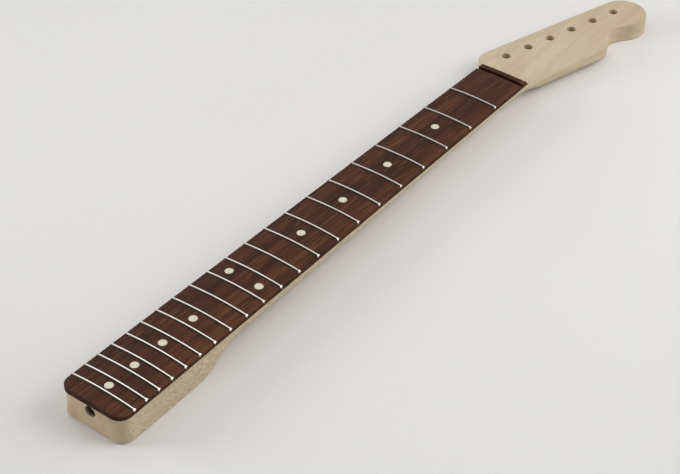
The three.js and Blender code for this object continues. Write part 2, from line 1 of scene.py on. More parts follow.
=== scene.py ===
"""The looks of a bare bolt-on guitar neck of sanded maple and oiled rosewood.

Shapes are drawn in millimetres from the nut line, with x towards the head, y towards the bass side
and z up from the crown of the fingerboard. They are then moved into the frame, which is in metres.
"""

import math

import bmesh
import bpy
from mathutils import Matrix, Vector


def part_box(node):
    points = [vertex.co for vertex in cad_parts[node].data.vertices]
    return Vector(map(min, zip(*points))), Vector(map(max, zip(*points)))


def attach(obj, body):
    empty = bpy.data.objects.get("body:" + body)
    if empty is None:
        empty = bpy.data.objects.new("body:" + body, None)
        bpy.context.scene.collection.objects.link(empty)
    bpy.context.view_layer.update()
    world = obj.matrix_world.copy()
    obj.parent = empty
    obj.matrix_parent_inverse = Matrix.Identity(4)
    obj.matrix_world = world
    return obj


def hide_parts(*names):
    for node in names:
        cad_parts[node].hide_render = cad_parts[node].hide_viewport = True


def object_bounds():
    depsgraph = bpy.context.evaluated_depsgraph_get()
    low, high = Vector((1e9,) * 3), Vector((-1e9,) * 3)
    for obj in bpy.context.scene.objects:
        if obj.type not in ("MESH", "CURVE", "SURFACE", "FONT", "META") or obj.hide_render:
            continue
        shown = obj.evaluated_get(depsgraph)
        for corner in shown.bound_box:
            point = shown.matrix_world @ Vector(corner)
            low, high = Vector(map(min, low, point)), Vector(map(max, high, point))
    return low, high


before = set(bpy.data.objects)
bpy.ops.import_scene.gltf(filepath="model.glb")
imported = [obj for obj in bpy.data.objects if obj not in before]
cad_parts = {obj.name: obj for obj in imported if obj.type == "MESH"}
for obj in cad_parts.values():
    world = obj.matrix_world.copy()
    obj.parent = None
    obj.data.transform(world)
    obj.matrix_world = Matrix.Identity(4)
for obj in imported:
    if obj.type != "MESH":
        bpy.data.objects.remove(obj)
cad_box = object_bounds()

MM = 0.001
QUARTER = math.pi / 2

# Scale and frets
scale_length = 647.7
semitones = 12
fret_count = 21
fret_crown_width = 2.3
fret_crown_height = 1.1
fret_foot_height = 0.25
fret_foot_ease = 0.05
fret_tang_width = 0.5
fret_tang_depth = 1.5
fret_end_bevel = 0.8
fret_slot_width = 0.6
fret_slot_depth = 2.2
fret_seat = 0.02

# Fingerboard
board_width_at_nut = 42.2
board_width_at_heel = 56.2
board_radius = 241.3
board_thickness = 4.8
board_past_last_fret = 13
board_past_nut_line = 7.6
board_edge_radius = 0.35
nut_slot_width = 3.4
nut_slot_depth = 3

# Shaft and heel
shaft_depth_at_first_fret = 19.5
shaft_depth_at_octave = 22.8
heel_depth = 26.2
heel_corner_radius = 9.5
heel_edge_radius = 1
heel_end_edge_radius = 2.2
heel_flat_length = 75
heel_ramp_length = 42
shaft_shoulder = 0.5
shaft_fullness_at_first_fret = 1.85
shaft_fullness_at_octave = 2.1
corner_fullness = 2
shaft_round_share = 0.97
seam_ease = 0.05

# Head
head_length = 178.5
head_width = 78.2
head_thickness = 15.6
head_edge_radius = 1.1
head_scoop_radius = 16
head_ramp_length = 46
shoulder_radius = 17.4
shoulder_centre = Vector((33, 19.9))
flare_radius = 8
tip_radius = 19.9
tip_leave_turn_share = -0.352
notch_pull_shares = (0.756, 0.829)
notch_deepest_shares = (0.725, 0.829)
notch_exit_shares = (0.686, 0.829)
horn_rise_shares = (0.65, 0.893)
horn_pull_shares = (0.605, 0.967)
horn_base_shares = (0.515, 0.936)
edge_bend_shares = (0.28, 0.8)
edge_pull_share = 0.174
edge_start_share = 0.084
loft_end_share = 0.715
under_cut_width = 17
under_cut_height = 11.5
under_cut_fades_share = 0.44

# Holes
tuner_hole_diameter = 7.4
tuner_hole_count = 6
tuner_hole_from_edge = 14.3
first_tuner_hole_past_shoulder = 9.2
last_tuner_hole_before_tip = 5.9
tuner_hole_chamfer = 0.5
screw_hole_diameter = 3
screw_hole_depth = 16
screw_pattern = Vector((50.8, 38.1))
screw_pattern_from_end = 38.1

# Inlays
dot_diameter = 6.35
dot_thickness = 1.5
dot_clearance = 0.03
dot_rim_ease = 0.08
dot_rim_turn = 0.02
dot_ring_shares = (0.7, 0.35)
octave_dot_offset = 13.44
single_dot_frets = (3, 5, 7, 9, 15, 17, 19, 21)
octave_fret = 12
side_dot_diameter = 2
side_dot_depth = 3
side_dot_height = -3.1
side_dot_offset = 4
side_dot_ease = 0.05

# Truss rod
access_diameter = 8.7
access_depth = 16
access_chamfer = 0.25
rod_axis = -9.4
adjuster_diameter = 7.8
adjuster_bore = 5.1
adjuster_chamfer = 0.5
adjuster_slot_width = 1.3
adjuster_slot_depth = 2.6
adjuster_face_thickness = 3.5

# How finely curves are drawn
corner_steps = 20
edge_steps = 5
outline_steps = 24
crown_steps = 36
round_steps = 48
fret_round_steps = 10
heel_flat_steps = 12
heel_ramp_steps = 28
shaft_steps = 24
before_scoop_steps = 10
scoop_steps = 20
before_tip_steps = 4
board_steps = 24

# How far cutters reach past what they cut, how near two sections or two points may be, and from how
# many degrees a crease is sharp and a face isn't flat
cut_margin = 1
least_station_gap = 0.02
same_spot = 0.0005
sharp_angle = 32
flat_angle = 5


def fret_place(fret):
    return -scale_length * (1 - 2 ** (-fret / semitones))


heel_end = fret_place(fret_count) - board_past_last_fret
heel_flat_end = heel_end + heel_flat_length
heel_ramp_end = heel_flat_end + heel_ramp_length
seam = -board_thickness
head_face = head_thickness - heel_depth
head_top = shoulder_centre.y + shoulder_radius
tip_centre = Vector((head_length - tip_radius, head_top - head_width + tip_radius))
edge_start = head_length * edge_start_share
loft_end = head_length * loft_end_share
scoop_turn = math.acos((head_scoop_radius - (seam - head_face)) / head_scoop_radius)
scoop_top = board_past_nut_line + board_thickness / math.tan(scoop_turn)
scoop_foot = scoop_top + head_scoop_radius * math.sin(scoop_turn)

# In the frame, in metres: the nut line and the crown, found from the last fret and the fingerboard,
# and the part's middle
last_fret_low, last_fret_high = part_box(f"fret_{fret_count:02d}")
nut_line = (last_fret_low.x + last_fret_high.x) / 2 - fret_place(fret_count) * MM
crown_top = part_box("fingerboard")[1].z
from_nut_line = Matrix.Translation((nut_line, 0, crown_top)) @ Matrix.Scale(MM, 4)
middle = (cad_box[0] + cad_box[1]) / 2

# The photograph's camera, found from the frets, dots and edges that it shows. Its place is in
# millimetres from the nut line, its lens and sensor are in millimetres, its roll is in degrees and
# its clips are in metres.
camera_place = Vector((-1037.3, -642.8, 818.5))
camera_look = Vector((0.61476, 0.47526, -0.62944))
camera_roll = -0.07
camera_lens = 96.98
camera_sensor_width = 36
camera_clips = (0.01, 20)

# The studio, in metres from the part's middle, linear colour, watts and degrees. The floor turns
# to the backdrop's colour from backdrop_from on. Its faint clouds are floor_cloud_size millimetres
# long.
floor_reach = 4.0
floor_cloud_size = 400
backdrop_from = 0.55
backdrop = (0.77, 0.77, 0.76)
all_round_light = (0.228, 0.23, 0.24)
lamps = {
    "overhead": {"offset": (0.1, 0.5, 1.45), "size": (0.8, 1.8), "power": 6.1, "beam": 180},
    "right_softbox": {"offset": (0.75, -1.0, 1.0), "size": (1.2, 1.4), "power": 7, "beam": 110},
    "left_softbox": {"offset": (-0.9, 1.3, 0.55), "size": (0.9, 0.7), "power": 2.4, "beam": 75},
    "front_fill": {"offset": (-1.2, -0.9, 1.2), "size": (0.8, 0.8), "power": 2.4, "beam": 180},
}

# The maple's growth rings, in metres. They lie round an axis that is to the bass side of the centre
# line and below the heel's back. They waver, and they lean by ring_lean for each metre along the
# neck.
ring_axis_to_bass = 0.012
ring_axis_below = 0.05
ring_spacing = 0.0062
ring_waver = 0.03
ring_lean = 0.03

# Other measures of the materials: shares, millimetres and degrees
late_wood_share = 0.16
fleck_reach = 500
fleck_strength = 0.72
bore_reach_share = 0.52
# How far into the truss rod's hole, in millimetres, the painted shade takes to deepen
shade_deepens_over = 4
maple_specular = 0.35
maple_fibre_depth, maple_wave_depth = 0.03, 0.05
rosewood_grain_turn = 1.6
rosewood_grain_bend = 9
rosewood_specular = 0.08
pore_darkness = 0.75
pore_depth = 0.05
tarnish_share = 0.6
inlay_coat, inlay_coat_roughness = 0.25, 0.2
inlay_depth = 0.01


# Numbers


def lerp(a, b, share):
    return a + (b - a) * share


def smoothstep(value, low, high):
    share = min(max((value - low) / (high - low), 0), 1)
    return share * share * (3 - 2 * share)


def spread(start, end, steps):
    return [lerp(start, end, i / steps) for i in range(steps)]


def half_width(x):
    return lerp(board_width_at_nut, board_width_at_heel, x / heel_end) / 2


def crown_height(y):
    return math.sqrt(board_radius**2 - y**2) - board_radius


# Meshes


def loft(rings, open_end=False):
    """A mesh through a row of rings of points, closed at its ends unless open_end is set."""
    bm = bmesh.new()
    rows = [[bm.verts.new(point) for point in ring] for ring in rings]
    for row, following in zip(rows, rows[1:]):
        for i in range(len(row)):
            bm.faces.new((row[i - 1], row[i], following[i], following[i - 1]))
    bm.faces.new(rows[0])
    if not open_end:
        bm.faces.new(rows[-1])
    return bm


def tidy(bm):
    """Joins points that coincide and turns every face outwards."""
    bmesh.ops.remove_doubles(bm, verts=bm.verts, dist=same_spot)
    bmesh.ops.dissolve_degenerate(bm, edges=bm.edges, dist=same_spot)
    bmesh.ops.recalc_face_normals(bm, faces=bm.faces)
    return bm


def turned(profile, turn_matrix):
    """A solid of revolution.

    profile holds (radius, height) points of a closed outline, or of one that starts and ends on the
    axis.
    """
    on_axis = profile[0][0] == 0
    rings = []
    for i in range(round_steps):
        angle = 2 * math.pi * i / round_steps
        rings.append([Vector((r * math.cos(angle), r * math.sin(angle), z)) for r, z in profile])
    bm = bmesh.new()
    rows = [[bm.verts.new(point) for point in ring] for ring in rings]
    count = len(profile)
    for i in range(round_steps):
        row, following = rows[i - 1], rows[i]
        for j in range(count - 1 if on_axis else count):
            bm.faces.new((row[j], following[j], following[(j + 1) % count], row[(j + 1) % count]))
    bmesh.ops.transform(bm, matrix=turn_matrix, verts=bm.verts)
    return tidy(bm)


def upright_at(x, y):
    return Matrix.Translation((x, y, 0))


def along_x_at(z):
    return Matrix.Translation((0, 0, z)) @ Matrix.Rotation(QUARTER, 4, "Y")


def along_y_at(x, z):
    return Matrix.Translation((x, 0, z)) @ Matrix.Rotation(-QUARTER, 4, "X")


def plug(diameter, low, high, turn_matrix):
    """A plain round cutter between two heights along its axis."""
    radius = diameter / 2
    return turned([(0, low), (radius, low), (radius, high), (0, high)], turn_matrix)


def block(low, high):
    bm = bmesh.new()
    bmesh.ops.create_cube(bm, size=1)
    low, high = Vector(low), Vector(high)
    size = Matrix.Diagonal(high - low).to_4x4()
    bmesh.ops.transform(bm, matrix=Matrix.Translation((low + high) / 2) @ size, verts=bm.verts)
    return bm


def joined(meshes):
    """Meshes that don't touch, as one."""
    whole = bmesh.new()
    for bm in meshes:
        part = to_mesh(bm)
        whole.from_mesh(part)
        bpy.data.meshes.remove(part)
    return whole


def to_mesh(bm):
    mesh = bpy.data.meshes.new("shape")
    bm.to_mesh(mesh)
    bm.free()
    return mesh


def in_scene(name, data):
    """A new object in the scene, made of a mesh, a lamp or a camera."""
    obj = bpy.data.objects.new(name, data)
    bpy.context.scene.collection.objects.link(obj)
    return obj


def cut_away(bm, *cutters):
    """The mesh less each of the cutters in turn."""
    body = in_scene("body", to_mesh(bm))
    for cutter in cutters:
        tool = in_scene("tool", to_mesh(cutter))
        modifier = body.modifiers.new("cut", "BOOLEAN")
        modifier.operation = "DIFFERENCE"
        modifier.solver = "EXACT"
        modifier.object = tool
        graph = bpy.context.evaluated_depsgraph_get()
        made = bpy.data.meshes.new_from_object(body.evaluated_get(graph))
        body.modifiers.clear()
        body.data = made
        bpy.data.objects.remove(tool)
    result = bmesh.new()
    result.from_mesh(body.data)
    bpy.data.objects.remove(body)
    return result


def piece(name, bm, material, nodes, body="neck_assembly"):
    """Makes a mesh drawn from the nut line into a smooth piece that stands for its CAD nodes."""
    bmesh.ops.transform(bm, matrix=from_nut_line, verts=bm.verts)
    mesh = to_mesh(bm)
    mesh.name = name
    mesh.shade_smooth()
    mesh.set_sharp_from_angle(angle=math.radians(sharp_angle))
    mesh.materials.append(material)
    obj = in_scene(name, mesh)
    weighted = obj.modifiers.new("even_shading", "WEIGHTED_NORMAL")
    weighted.keep_sharp = True
    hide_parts(*nodes)
    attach(obj, body)


# Outlines of the head, as points from its bass side and its treble side


def on_arc(centre, radius, angle):
    return centre + Vector((math.cos(angle), math.sin(angle))) * radius


def arc(centre, radius, start, end):
    angles = [lerp(start, end, i / outline_steps) for i in range(outline_steps + 1)]
    return [on_arc(centre, radius, angle) for angle in angles]


def curve(start, pull, end):
    """Points of a quadratic curve after its start."""
    points = []
    for i in range(1, outline_steps + 1):
        share = i / outline_steps
        points.append(start.lerp(pull, share).lerp(pull.lerp(end, share), share))
    return points


def edge_normal():
    """The angle of a line square to the straight bass edge, which touches both arcs."""
    between = tip_centre - shoulder_centre
    tilt = math.asin((tip_radius - shoulder_radius) / between.length)
    return math.atan2(between.y, between.x) + QUARTER + tilt


def head_point(shares):
    along, across = shares
    return Vector((head_length * along, head_top - head_width * across))


def bass_outline():
    side = half_width(0)
    rise = side + flare_radius - shoulder_centre.y
    reach = flare_radius + shoulder_radius
    flare_centre = Vector((shoulder_centre.x - math.sqrt(reach**2 - rise**2), side + flare_radius))
    out = flare_centre - shoulder_centre
    meets = math.atan2(out.y, out.x)
    points = arc(flare_centre, flare_radius, -QUARTER, meets - math.pi)
    points += arc(shoulder_centre, shoulder_radius, meets, edge_normal())[1:]
    return points


def tip_outline():
    """The tip from the bass edge round to where its arc meets the notch."""
    return arc(tip_centre, tip_radius, edge_normal(), tip_leave_turn_share * 2 * math.pi)


def treble_outline():
    """The treble edge from the tip's arc back to the shaft."""
    points = [tip_outline()[-1]]
    points += curve(points[-1], head_point(notch_pull_shares), head_point(notch_deepest_shares))
    points += curve(points[-1], head_point(notch_exit_shares), head_point(horn_rise_shares))
    points += curve(points[-1], head_point(horn_pull_shares), head_point(horn_base_shares))
    points.append(head_point(edge_bend_shares))
    pull = head_length * edge_pull_share
    end = Vector((edge_start, -half_width(edge_start)))
    points += curve(points[-1], Vector((pull, -half_width(pull))), end)
    return points


bass_points = bass_outline() + tip_outline()
treble_points = treble_outline()


def crossing(points, x):
    """y and the slope where a row of points crosses x."""
    for a, b in zip(points, points[1:]):
        if (a.x - x) * (b.x - x) <= 0 and a.x != b.x:
            slope = (b.y - a.y) / (b.x - a.x)
            return a.y + slope * (x - a.x), slope
    raise ValueError(f"the outline is not crossed at {x}")


def bass_side(x):
    """y and the slope of the head's bass side, which is straight up to its flare."""
    if x <= bass_points[0].x:
        return half_width(0), 0
    return crossing(bass_points, x)


def treble_side(x):
    """y and the slope of the head's treble side, which runs on from the shaft's at first."""
    if x <= edge_start:
        return -half_width(x), 0
    return crossing(treble_points, x)


# The maple neck


def along_shaft(x, at_first_fret, at_octave):
    share = (x - fret_place(1)) / (fret_place(octave_fret) - fret_place(1))
    return lerp(at_first_fret, at_octave, share)


def neck_top(x):
    """The seam under the fingerboard, then the hollow curve, then the head's face."""
    if x <= scoop_top:
        return seam
    from_foot = max(scoop_foot - x, 0)
    return head_face + head_scoop_radius - math.sqrt(head_scoop_radius**2 - from_foot**2)


def edge_points(x, side, slope, face, radius, steps, fullness=corner_fullness):
    """Points of an eased edge, from the side wall to the flat face.

    side is where the wall stands at x, with its slope along the neck, and face is the flat's
    height. radius is (across, up), and up is negative where the wall stands below the face. In the
    heel's round corners the edge follows the corner's arc.
    """
    inward = -math.copysign(1, side)
    across, up = radius
    into_corner = heel_end + heel_corner_radius - x
    points = []
    for i in range(steps + 1):
        turn = i / steps * QUARTER
        inset = across * (1 - math.cos(turn) ** (2 / fullness))
        rise = up * (1 - math.sin(turn) ** (2 / fullness))
        if into_corner > 0:
            inset = min(inset, x - heel_end)
            rise = up * (1 - math.sqrt(max(1 - (1 - inset / across) ** 2, 0)))
            reach = heel_corner_radius - inset
            corner_y = heel_corner_radius - math.sqrt(max(reach**2 - into_corner**2, 0))
            points.append(Vector((x, side + inward * corner_y, face + rise)))
        else:
            points.append(Vector((x, side + inward * inset * math.hypot(1, slope), face + rise)))
    return points


def straight_side(x):
    """Half the width at x, or at the start of the heel's round corners where x is within them."""
    return half_width(max(x, heel_end + heel_corner_radius))


def wall_at(x):
    """The bass and treble walls at x and their slopes."""
    if x < 0:
        side = straight_side(x)
        return (side, 0), (-side, 0)
    return bass_side(x), treble_side(x)


def clipped(points, ceiling):
    """Points down a side, with those above a ceiling brought down the curve to it."""
    for above, below in zip(points, points[1:]):
        if above.z > ceiling >= below.z:
            meets = above.lerp(below, (above.z - ceiling) / (above.z - below.z))
            return [meets.copy() if point.z > ceiling else point for point in points]
    return points


def back_roundings(x, shaft_depth, block_share, head_share):
    """How far the bass and treble sides are rounded towards the back at x, each as (across, up)."""
    past_corner = smoothstep(x, heel_end + heel_corner_radius, heel_end + 2 * heel_corner_radius)
    sharp = head_edge_radius if x > 0 else lerp(heel_end_edge_radius, heel_edge_radius, past_corner)
    sharp_round = Vector((sharp, sharp))
    round_height = shaft_depth - board_thickness - shaft_shoulder
    shaft_round = Vector((half_width(x) * shaft_round_share, round_height))
    bass_round = shaft_round.lerp(sharp_round, block_share)
    if x <= 0:
        return bass_round, bass_round
    fades = smoothstep(x / head_length, under_cut_fades_share, loft_end_share)
    under_cut = Vector((under_cut_width, under_cut_height)).lerp(sharp_round, fades)
    return bass_round, shaft_round.lerp(under_cut, head_share)


def neck_ring(x):
    """One section of the maple: the bass and treble edges of its top, then those of its back."""
    (bass, bass_slope), (treble, treble_slope) = wall_at(x)
    head_share = smoothstep(x, 0, head_ramp_length)
    heel_share = 1 - smoothstep(x, heel_flat_end, heel_ramp_end)
    block_share = max(heel_share, head_share)
    bass_slope *= block_share
    treble_slope *= block_share
    shaft_depth = along_shaft(x, shaft_depth_at_first_fret, shaft_depth_at_octave)
    back = -lerp(shaft_depth, heel_depth, block_share)
    fullness = along_shaft(x, shaft_fullness_at_first_fret, shaft_fullness_at_octave)
    fullness = lerp(fullness, corner_fullness, block_share)
    bass_round, treble_round = back_roundings(x, shaft_depth, block_share, head_share)
    top = neck_top(x)
    eased = lerp(seam_ease, head_edge_radius, smoothstep(x, scoop_top, scoop_foot))
    lower_bass = edge_points(x, bass, bass_slope, back, bass_round, corner_steps, fullness)
    lower_treble = edge_points(x, treble, treble_slope, back, treble_round, corner_steps, fullness)
    lower_bass = clipped(lower_bass, top - eased)
    lower_treble = clipped(lower_treble, top - eased)
    upper = (eased, -eased)
    ring = edge_points(x, lower_bass[0].y, bass_slope, top, upper, edge_steps)
    ring += reversed(edge_points(x, lower_treble[0].y, treble_slope, top, upper, edge_steps))
    ring += lower_treble
    ring += reversed(lower_bass)
    return ring


def heel_corner_stations():
    turns = [i / corner_steps * QUARTER for i in range(corner_steps)]
    return [heel_end + heel_corner_radius * (1 - math.cos(turn)) for turn in turns]


def neck_stations():
    """Where the maple's cross-sections stand, from the heel's end to the start of the tip."""
    outline = [point.x for point in bass_points + treble_points]
    stations = heel_corner_stations()
    stations += spread(heel_end + heel_corner_radius, heel_flat_end, heel_flat_steps)
    stations += spread(heel_flat_end, heel_ramp_end, heel_ramp_steps)
    stations += spread(heel_ramp_end, 0, shaft_steps)
    stations += spread(0, scoop_top, before_scoop_steps)
    stations += spread(scoop_top, scoop_foot, scoop_steps)
    stations += [x for x in outline if scoop_foot < x < loft_end - cut_margin]
    stations += [loft_end]
    stations.sort()
    return [x for i, x in enumerate(stations) if i == 0 or x - stations[i - 1] > least_station_gap]


def tip_mesh(start_ring):
    """The tip of the head: columns of points down its wall, from start_ring's bass side round."""
    upper, lower = edge_steps + 1, corner_steps + 1
    treble_end = 2 * upper + lower
    bass_column = start_ring[:upper][::-1] + start_ring[treble_end:][::-1]
    treble_column = start_ring[upper:treble_end]
    start = Vector((loft_end, start_ring[0].y))
    end = Vector((loft_end, start_ring[2 * upper].y))
    bass_edge = [point for point in bass_points if point.x > loft_end + cut_margin]
    outline = [start.lerp(bass_edge[0], i / before_tip_steps) for i in range(1, before_tip_steps)]
    outline += bass_edge
    outline += [point for point in treble_points[1:] if point.x > loft_end + cut_margin]
    neighbours = [start, *outline, end]
    columns = [bass_column]
    for before, point, after in zip(neighbours, outline, neighbours[2:]):
        along = (after - before).normalized()
        columns.append(wall_column(point, Vector((along.y, -along.x))))
    columns.append(treble_column)
    bm = bmesh.new()
    rows = [[bm.verts.new(place) for place in column] for column in columns]
    for row, following in zip(rows, rows[1:]):
        for j in range(len(row) - 1):
            bm.faces.new((row[j], row[j + 1], following[j + 1], following[j]))
    bm.faces.new([row[0] for row in rows])
    bm.faces.new([row[-1] for row in rows])
    return bm


def wall_column(point, inward):
    """Points down the wall at one place of the outline, from the head's face to its back."""
    edges = (
        (edge_steps, head_face, -head_edge_radius),
        (corner_steps, -heel_depth, head_edge_radius),
    )
    column = []
    for steps, face, up in edges:
        side = []
        for i in range(steps + 1):
            turn = i / steps * QUARTER
            place = point + inward * head_edge_radius * (1 - math.cos(turn))
            side.append(Vector((place.x, place.y, face + up * (1 - math.sin(turn)))))
        column += reversed(side) if up < 0 else side
    return column


def tuner_hole_places():
    """The holes are evenly spaced along the bass edge, between the shoulder's arc and the tip's."""
    normal = edge_normal()
    start = on_arc(shoulder_centre, shoulder_radius - tuner_hole_from_edge, normal)
    row = (tip_centre - shoulder_centre).length
    row -= first_tuner_hole_past_shoulder + last_tuner_hole_before_tip
    for i in range(tuner_hole_count):
        along = first_tuner_hole_past_shoulder + row * i / (tuner_hole_count - 1)
        yield on_arc(start, along, normal - QUARTER)


def tuner_hole(place):
    """A cutter that also eases the rim of the hole on both faces."""
    radius = tuner_hole_diameter / 2
    wide = radius + tuner_hole_chamfer + cut_margin
    back = -heel_depth
    profile = [
        (0, back - cut_margin),
        (wide, back - cut_margin),
        (radius, back + tuner_hole_chamfer),
        (radius, head_face - tuner_hole_chamfer),
        (wide, head_face + cut_margin),
        (0, head_face + cut_margin),
    ]
    return turned(profile, upright_at(place.x, place.y))


def screw_holes():
    pattern_middle = heel_end + screw_pattern_from_end
    low, high = -heel_depth - cut_margin, screw_hole_depth - heel_depth
    for along in (-1, 1):
        for across in (-1, 1):
            x = pattern_middle + along * screw_pattern.x / 2
            place = upright_at(x, across * screw_pattern.y / 2)
            yield plug(screw_hole_diameter, low, high, place)


def access_hole():
    radius = access_diameter / 2
    wide = radius + access_chamfer + cut_margin
    profile = [
        (0, heel_end - cut_margin),
        (wide, heel_end - cut_margin),
        (radius, heel_end + access_chamfer),
        (radius, heel_end + access_depth),
        (0, heel_end + access_depth),
    ]
    return turned(profile, along_x_at(rod_axis))


def neck_mesh():
    rings = [neck_ring(x) for x in neck_stations()]
    parts = [loft(rings, open_end=True), tip_mesh(rings[-1])]
    bm = tidy(joined(parts))
    holes = [tuner_hole(place) for place in tuner_hole_places()]
    return cut_away(bm, joined(holes), joined(screw_holes()), access_hole())


# The fingerboard


def board_ring(x):
    """One cross-section of the fingerboard, with a smooth crown and eased upper edges."""
    side = straight_side(x)
    edge = board_edge_radius
    bass_edge = edge_points(x, side, 0, 0, (edge, -edge), edge_steps)
    treble_edge = edge_points(x, -side, 0, 0, (edge, -edge), edge_steps)
    inner = bass_edge[-1].y
    lowered = bass_edge[-1].z
    crown = [lerp(inner, -inner, i / crown_steps) for i in range(1, crown_steps)]
    ring = [Vector((x, bass_edge[0].y, seam))]
    ring += [Vector((x, p.y, p.z + crown_height(p.y))) for p in bass_edge]
    ring += [Vector((x, y, lowered + crown_height(y))) for y in crown]
    ring += [Vector((x, p.y, p.z + crown_height(p.y))) for p in reversed(treble_edge)]
    ring += [Vector((x, treble_edge[0].y, seam))]
    return ring


def board_end_cut():
    """The slope at the head end of the fingerboard, as the block above it."""
    rise = cut_margin / math.tan(scoop_turn)
    wide = board_width_at_heel
    outline = [
        (board_past_nut_line - rise, cut_margin),
        (scoop_foot, cut_margin),
        (scoop_foot, seam - cut_margin),
        (scoop_top + rise, seam - cut_margin),
    ]
    rings = [[Vector((x, y, z)) for x, z in outline] for y in (-wide, wide)]
    return tidy(loft(rings))


def fret_slot(x):
    half = fret_slot_width / 2
    wide = half_width(x) + cut_margin
    low, high = -fret_slot_depth, cut_margin
    corners = ((-half, low), (-half, high), (half, high), (half, low))
    rings = []
    for i in range(crown_steps + 1):
        y = lerp(-wide, wide, i / crown_steps)
        top = crown_height(y)
        rings.append([Vector((x + across, y, top + up)) for across, up in corners])
    return tidy(loft(rings))


def dot_x(fret):
    return (fret_place(fret) + fret_place(fret - 1)) / 2


def dot_places():
    """Names and places of the dots in the face of the fingerboard."""
    for fret in single_dot_frets:
        yield f"dot_fret_{fret:02d}", dot_x(fret), 0
    yield f"dot_fret_{octave_fret}_bass", dot_x(octave_fret), octave_dot_offset
    yield f"dot_fret_{octave_fret}_treble", dot_x(octave_fret), -octave_dot_offset


def side_dot_places():
    for fret in single_dot_frets:
        yield f"side_dot_{fret:02d}", dot_x(fret)
    yield f"side_dot_{octave_fret}_heel_side", dot_x(octave_fret) - side_dot_offset
    yield f"side_dot_{octave_fret}_head_side", dot_x(octave_fret) + side_dot_offset


def dot_bottom(y):
    return crown_height(abs(y) + dot_diameter / 2) - dot_thickness


def dot_pockets():
    for _, x, y in dot_places():
        yield plug(dot_diameter + 2 * dot_clearance, dot_bottom(y), cut_margin, upright_at(x, y))


def side_dot_holes():
    for _, x in side_dot_places():
        side = half_width(x)
        wide = side_dot_diameter + 2 * dot_clearance
        yield plug(wide, side - side_dot_depth, side + cut_margin, along_y_at(x, side_dot_height))


def board_mesh():
    stations = heel_corner_stations()
    stations += spread(heel_end + heel_corner_radius, scoop_top + cut_margin, board_steps)
    stations += [scoop_top + cut_margin]
    bm = tidy(loft([board_ring(x) for x in stations]))
    wide = board_width_at_heel
    nut_slot = block((0, -wide, -nut_slot_depth), (nut_slot_width, wide, cut_margin))
    fret_slots = joined(fret_slot(fret_place(fret)) for fret in range(1, fret_count + 1))
    pockets, side_holes = joined(dot_pockets()), joined(side_dot_holes())
    return cut_away(bm, board_end_cut(), fret_slots, pockets, side_holes, nut_slot)


# Frets and dots


def fret_profile():
    """Half of a fret's section as (across, height), from the tang's foot to the crown's middle."""
    tang, crown, ease = fret_tang_width / 2, fret_crown_width / 2, fret_foot_ease
    points = [(tang, -fret_tang_depth), (tang, 0), (crown - ease, 0), (crown, ease)]
    for i in range(fret_round_steps):
        turn = i / fret_round_steps * QUARTER
        rise = (fret_crown_height - fret_foot_height) * math.sin(turn)
        points.append((crown * math.cos(turn), fret_foot_height + rise))
    return points


def fret_mesh(x):
    """A fret bent to the crown, with its ends filed to a flat slope."""
    half = fret_profile()
    section = [(-across, height) for across, height in half] + [(0, fret_crown_height)]
    section += list(reversed(half))
    wide = half_width(x)
    slope = fret_end_bevel / fret_crown_height
    rings = []
    for i in range(crown_steps + 1):
        share = 2 * i / crown_steps - 1
        ring = []
        for across, height in section:
            y = share * (wide - max(height, 0) * slope)
            ring.append(Vector((x + across, y, crown_height(y) + fret_seat + height)))
        rings.append(ring)
    bm = loft(rings)
    ends = [face for face in bm.faces if len(face.verts) == len(section)]
    bmesh.ops.connect_verts_nonplanar(bm, angle_limit=math.radians(flat_angle), faces=ends)
    return tidy(bm)


def dot_mesh(x, y):
    """A dot sanded flush with the crown, its rim just eased."""
    radius = dot_diameter / 2
    bottom = dot_bottom(y) + dot_clearance
    profile = [
        (0, -dot_thickness),
        (radius, -dot_thickness),
        (radius, -dot_rim_ease),
        (radius - dot_rim_turn, -dot_rim_turn),
        (radius - dot_rim_ease, 0),
        *((radius * share, 0) for share in dot_ring_shares),
        (0, 0),
    ]
    bm = turned(profile, upright_at(x, y))
    for vert in bm.verts:
        at_bottom = vert.co.z < -dot_thickness / 2
        vert.co.z = bottom if at_bottom else vert.co.z + crown_height(vert.co.y)
    return bm


def side_dot_mesh(x):
    radius = side_dot_diameter / 2
    side = half_width(x)
    low = side - side_dot_depth + dot_clearance
    ease = side_dot_ease
    profile = [(0, low), (radius, low), (radius, side - ease), (radius - ease, side), (0, side)]
    return turned(profile, along_y_at(x, side_dot_height))


# The truss rod's nut


def adjuster_mesh():
    """A turned barrel, bored from behind, with a cross for a screwdriver in its outer end."""
    low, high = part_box("truss_rod_nut")
    inverse = from_nut_line.inverted()
    front = (inverse @ low).x
    back = (inverse @ high).x
    bore, outer, ease = adjuster_bore / 2, adjuster_diameter / 2, adjuster_chamfer
    bore_end = front + adjuster_face_thickness
    profile = [
        (0, front),
        (outer - ease, front),
        (outer, front + ease),
        (outer, back - ease),
        (outer - ease, back),
        (bore, back),
        (bore, bore_end),
        (0, bore_end),
    ]
    barrel = turned(profile, along_x_at(rod_axis))
    half, reach = adjuster_slot_width / 2, adjuster_diameter
    start, end = front - cut_margin, front + adjuster_slot_depth
    upright = block((start, -half, rod_axis - reach), (end, half, rod_axis + reach))
    level = block((start, -reach, rod_axis - half), (end, reach, rod_axis + half))
    return cut_away(barrel, upright, level)


# Materials

# The colour sockets of a mix node, which share their names with its number and vector sockets
mix_first_input, mix_second_input, mix_output = 6, 7, 2


